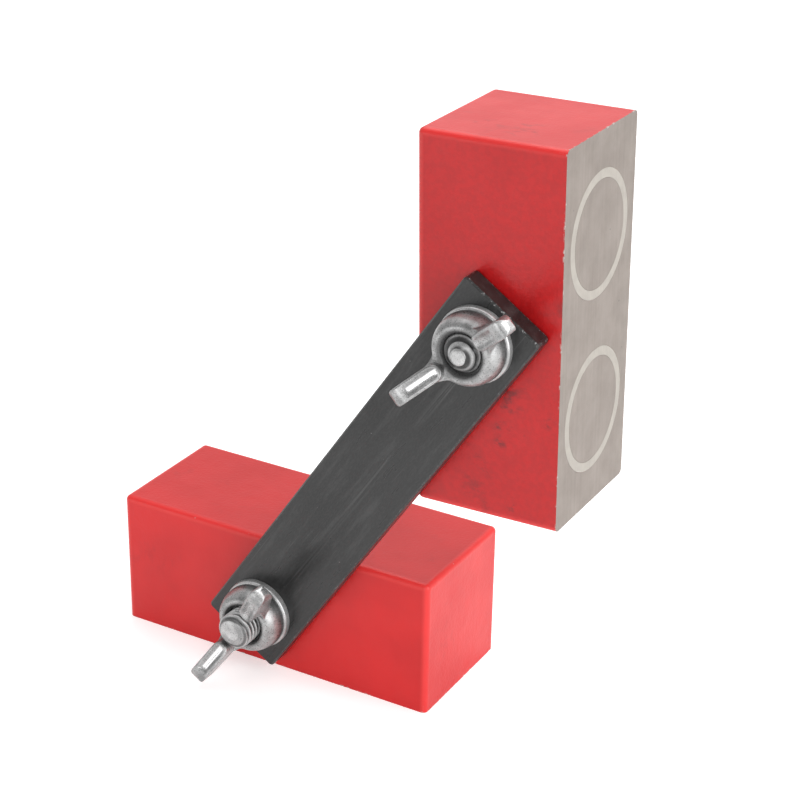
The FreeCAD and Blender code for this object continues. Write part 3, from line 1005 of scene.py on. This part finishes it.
@dataclass
class WingNut(StudPiece):
    """A cast wing nut: a domed hub and two wings with round tips and a shallow trough down each.

    Its own frame has the base on height 0 and the wings along X before the spin, in degrees.
    """

    spin: float
    crown_height: float
    tip_height: float
    base_radius: float = 9.5 * MM
    base_band: float = 1.5 * MM
    base_chamfer: float = 0.3 * MM
    hub_height: float = 6.4 * MM
    hub_top_radius: float = 6.75 * MM
    dome_inset: float = 0.1 * MM
    mouth_radius: float = 5.9 * MM
    mouth_lip: float = 0.25 * MM
    mouth_depth: float = 1.6 * MM
    bore_radius: float = 5.05 * MM
    wing_half: float = 2.3 * MM
    wing_start: float = 6.05 * MM
    tip_offset: float = 17.5 * MM
    tip_radius: float = 2.85 * MM
    tip_corner: float = 2.1 * MM
    root_low: Pair = (6.2 * MM, 0.8 * MM)
    slab_start: float = 4 * MM
    slab_half: float = 6 * MM
    web_heel: float = 1.984 * MM
    web_overlap: float = 0.6 * MM
    web_reach: float = 12.5 * MM
    web_drop: float = 1.1 * MM
    web_lift: float = radians(24)
    flare_width: float = 1.9 * MM
    flare_length: float = 4.2 * MM
    flare_inset: float = 0.1 * MM
    flare_steps: int = 8
    trough_half: float = 1.5 * MM
    trough_depth: float = 0.7 * MM
    trough_stop: float = 0.9 * MM
    # Shares of the mouth radius for the painted shade and soiling in the mouth.
    mouth_shade_and_dirt: Radii = (0.5, 0.8, 1.02, 1.2)
    # How high the painted shade round the foot reaches, in base bands.
    base_shade_rise: float = 2.1
    # Share of the trough's half width that the painted highlight covers.
    highlight_share: float = 0.6
    voxel: float = 0.17 * MM
    softening: int = 12
    polish: int = 2

    def build(self) -> None:
        """Make the casting and hand it over."""
        place = self.place("wing_nut")
        stands = place.matrix() @ Matrix.Rotation(radians(self.spin), 4, "Z")
        half_turn = Matrix.Rotation(pi, 4, "Z")
        wing, trough = self.wing(), self.trough()
        rough = joined(self.hub(), wing, moved(wing, half_turn))
        troughs = joined(trough, moved(trough, half_turn))
        soft = remeshed(rough, self.voxel, self.softening)
        cut = carved(soft, "DIFFERENCE", troughs)
        mesh = remeshed(cut, self.voxel, self.polish)
        mesh.transform(stands)
        piece = show(f"{self.level}_cast_wing_nut", mesh)
        spun = Place(place.origin, tuple(stands.to_3x3().to_euler()))
        dress(piece, self.finish().build(f"{self.level}_nut_zinc", spun))
        self.hand_over(piece, "nut", "wing_nut")

    def finish(self) -> ZincPlate:
        """Give the plate, with painted shade and soiling in the mouth, painted shade round the base, and a
        painted highlight on the wings.
        """
        flank_highlight = FlankHighlight(self.trough_half * self.highlight_share, self.wing_start + 0.6 * MM,
                          self.tip_offset - self.wing_half)
        return ZincPlate(ZincWork.CAST, shade_and_dirt_radii=tuple(self.mouth_radius * at for at in self.mouth_shade_and_dirt),
                         base_shade=(self.base_band * self.base_shade_rise, self.base_radius - self.base_chamfer),
                         flank_highlight=flank_highlight)

    def hub(self) -> Mesh:
        """Make the domed hub with its bore and mouth.

        Returns:
            The closed mesh.
        """
        rim, band, top, chamfer = self.base_radius, self.base_band, self.hub_height, self.base_chamfer
        core, rise = self.hub_top_radius, top - band
        reach = rim - core - self.dome_inset
        dome = [(core + reach * cos(a), band + rise * sin(a)) for a in map(radians, range(0, 91, 10))]
        profile = [(self.bore_radius, 0.0), (rim - chamfer, 0.0), (rim, chamfer), (rim, band), *dome,
                   (self.mouth_radius + self.mouth_lip, top),
                   (self.mouth_radius - 0.1 * MM, top - 0.35 * MM),
                   (self.bore_radius, top - self.mouth_depth)]
        return turned(profile, 128)

    def flank(self) -> tuple[Vector, float, float]:
        """Work out the inner flank.

        Returns:
            Where it starts, out along the wing and up, how steep it is and how long.
        """
        crown = Vector((self.wing_start, self.crown_height))
        way = Vector((self.tip_offset, self.tip_height)) - crown
        lift = atan2(way.y, way.x) + asin(self.tip_radius / way.length)
        return crown, lift, sqrt(way.length ** 2 - self.tip_radius ** 2)

    def side(self, crown: Vector, lift: float) -> Mesh:
        """Make a slab of the wing's side view, which trims the wing's top and bottom.

        Args:
            crown: Where the flank starts, out along the wing and up.
            lift: How steep the flank is.

        Returns:
            The slab, standing upright along the wing.
        """
        low = Vector(self.root_low)
        way = Vector((self.tip_offset, self.tip_height)) - low
        under = atan2(way.y, way.x) - asin(self.tip_radius / way.length)
        ends = degrees(under) - 90, degrees(lift) + 90
        tip = arc((self.tip_offset, self.tip_height), self.tip_radius, *ends, 20)
        outline = [(self.slab_start, low.y), tuple(low), *tip, tuple(crown), (self.slab_start, crown.y)]
        slab = prism(outline, -self.slab_half, self.slab_half)
        slab.transform(Matrix.Rotation(pi / 2, 4, "X"))
        return slab

    def trough(self) -> Mesh:
        """Make the long round body that hollows the flank of the wing on +X.

        Returns:
            The closed mesh.
        """
        crown, lift, reach = self.flank()
        half, deep = self.wing_half, self.trough_depth
        radius = (self.trough_half ** 2 + deep ** 2) / (2 * deep)
        length = reach - half - self.trough_stop
        nose = [(0.0, -radius), *arc((0.0, 0.0), radius, -84.0, 0.0, 14)]
        rod = turned(nose + [(radius, length), (0.0, length)], 64)
        rod.transform(Matrix.Translation((half, 0.0, radius - deep)) @ Matrix.Rotation(pi / 2, 4, "Y"))
        return moved(rod, Matrix.Translation((crown.x, 0.0, crown.y)) @ Matrix.Rotation(-lift, 4, "Y"))

    def wing(self) -> Mesh:
        """Make the wing on +X with its web into the hub.

        Returns:
            The two closed solids in one mesh.
        """
        crown, lift, _ = self.flank()
        half, corner, end = self.wing_half, self.tip_corner, self.tip_offset + self.tip_radius
        plan = arc((self.wing_start + half, 0.0), half, 90.0, 270.0, 24)
        plan += arc((end - corner, corner - half), corner, 270.0, 360.0, 6)
        plan += arc((end - corner, half - corner), corner, 0.0, 90.0, 6)
        blank = prism(plan, 0.0, self.tip_height + 2 * self.tip_radius)
        body = carved(blank, "INTERSECT", self.side(crown, lift))

        heel, wide = self.hub_top_radius - self.web_overlap, half + self.web_heel
        plan = [(heel, -wide), *self.flare(-1), (self.web_reach, 0.0),
                *reversed(self.flare(1)), (heel, wide)]
        blank = prism(plan, 0.0, self.tip_height)
        low_crown = Vector((self.wing_start, self.hub_height - self.web_drop))
        web = carved(blank, "INTERSECT", self.side(low_crown, self.web_lift))
        return joined(body, web)

    def flare(self, side: int) -> list[Pair]:
        """Give the hollow curve from the hub out into one side of a wing, 1 or -1."""
        shares = [step / self.flare_steps for step in range(self.flare_steps + 1)]
        return [(self.hub_top_radius + self.flare_length * share,
                 side * (self.wing_half - self.flare_inset + self.flare_width * (1 - share) ** 2))
                for share in shares]


@dataclass(frozen=True)
class Lamp:
    """A soft square lamp that faces a point: its side in metres and its power in watts."""

    name: str
    place: Point
    aim: Point
    side: float
    power: float

    def hang(self) -> None:
        """Hang the lamp in the scene."""
        light = bpy.data.lights.new(self.name, "AREA")
        light.shape, light.size, light.energy = "SQUARE", self.side, self.power
        holder = show(self.name, light)
        holder.location = self.place
        back = Vector(self.place) - Vector(self.aim)
        holder.rotation_euler = back.to_track_quat("Z", "Y").to_euler()


@dataclass
class Studio:
    """Pale floor, soft lamps and the camera at the photograph's angle.

    The camera's angles are in degrees, and the point that it looks at and its distance in millimetres.
    """

    azimuth: float = 29.472
    elevation: float = 25.09
    roll: float = 0.979
    look_at: Point = (4.973, 42.694, 58.805)
    distance: float = 593.584
    lens: float = 90.308
    floor_size: float = 3.0
    floor_glow: float = 0.86
    room_light: float = 0.42
    mirrored_light: float = 0.58
    dimming: float = 0.65
    lamps: tuple[Lamp, ...] = (
        Lamp("overhead", (0.05, 0.25, 0.80), (0.04, 0.0, 0.08), 0.9, 5.2),
        Lamp("right", (0.85, -0.15, 0.35), (0.03, 0.0, 0.07), 0.7, 6.0),
        Lamp("front", (0.10, -0.90, 0.20), (0.03, 0.0, 0.07), 0.36, 1.7),
        Lamp("low left", (-0.34, -0.50, 0.06), (0.0, 0.0, 0.02), 0.3, 0.4),
        Lamp("camera side", (0.50, -0.80, 0.52), (0.03, 0.0, 0.06), 0.2, 0.4),
    )

    def build(self) -> None:
        """Set up the camera, the floor, the world and the lamps."""
        self.add_camera()
        self.add_floor()
        self.add_world()
        for lamp in self.lamps:
            lamp.hang()
        bpy.context.scene.view_settings.view_transform = "Standard"

    def add_camera(self) -> None:
        """Place the camera."""
        turn, lift, roll = (radians(a) for a in (self.azimuth, self.elevation, self.roll))
        back = Vector((sin(turn) * cos(lift), -cos(turn) * cos(lift), sin(lift)))
        level = Vector((cos(turn), sin(turn), 0.0))
        right = level * cos(roll) + back.cross(level) * sin(roll)
        facing = Matrix((right, back.cross(right), back)).transposed().to_4x4()
        camera = show("camera", bpy.data.cameras.new("camera"))
        camera.data.sensor_width = 36.0
        camera.data.lens = self.lens
        camera.data.clip_start = 0.01
        place = (Vector(self.look_at) + back * self.distance) * MM
        camera.matrix_world = Matrix.Translation(place) @ facing
        bpy.context.scene.camera = camera

    def add_floor(self) -> None:
        """Lay the pale floor. It glows for what sees it, and fades up to white far away."""
        bpy.ops.mesh.primitive_plane_add(size=self.floor_size)
        floor = bpy.context.object
        floor.name = "floor"
        surface = Surface("floor_white")
        tone = surface.noise(0.6, detail=1.0).spread(0.0, 0.04)
        white = surface.mix(tone, grey(246), grey(238))
        card = surface.node("ShaderNodeBsdfDiffuse", inputs={"Color": white})
        away = surface.along.distance(surface.across).fade(0.35, 1.2)
        glow_colour = surface.mix(away, (0.5, 0.5, 0.5, 1.0), grey(255))
        glow = surface.node("ShaderNodeEmission", inputs={"Color": glow_colour, "Strength": self.floor_glow})
        lit = surface.node("ShaderNodeAddShader", inputs={0: card, 1: glow})
        seen = surface.rays("Camera", "Glossy", "Transmission")
        both = surface.node("ShaderNodeMixShader", inputs={0: seen, 1: card, 2: lit})
        dress(floor, surface.finish(both))

    def add_world(self) -> None:
        """Fill the room with soft white light, with its front left dimmer in what metal mirrors."""
        world = bpy.data.worlds.new("studio")
        world.use_nodes = True
        graph = Graph(world.node_tree)
        to_right, to_back, _ = graph.axes(graph.node("ShaderNodeTexCoord").outputs["Generated"])
        dim = to_back.fade(-0.1, -0.6) * to_right.fade(0.6, 0.1) * self.dimming
        strength = self.room_light + graph.rays("Camera", "Transmission") * (1.0 - self.room_light)
        strength = strength + graph.rays("Glossy") * (self.mirrored_light - dim)
        background = graph.node("ShaderNodeBackground", inputs={"Color": grey(255), "Strength": strength})
        graph.node("ShaderNodeOutputWorld", inputs={0: background})
        bpy.context.scene.world = world


def main() -> None:
    """Build the part's looks piece by piece."""
    logging.basicConfig(level=logging.INFO, format="%(name)s: %(message)s")
    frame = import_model()
    low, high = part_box("lower_block")
    sizes = high - low
    MagnetBlock(frame, "lower", ("left", "right"), *sizes).build()
    # The upper block's paint is darkened as painted shade, and its dirty zones are stronger.
    MagnetBlock(frame, "upper", ("bottom", "top"), *sizes, shade_and_dirt=0.62, smudges=UPPER_SMUDGES).build()
    for level in ("lower", "upper"):
        Washer(level).build()
    WingNut("lower", spin=57.0, crown_height=10.8 * MM, tip_height=12.0 * MM).build()
    WingNut("upper", spin=41.5, crown_height=8.2 * MM, tip_height=10.8 * MM).build()
    LinkBar(frame).build()
    # Each stud's last number sets how dark its thread grooves are painted as shade.
    ThreadedStud("lower", tip_radius=3.7 * MM, tip_length=0.3 * MM, grime_and_shade=0.35).build()
    ThreadedStud("upper", tip_radius=2.0 * MM, tip_length=1.5 * MM, grime_and_shade=0.95).build()
    Studio().build()


if __name__ == "__main__":
    main()
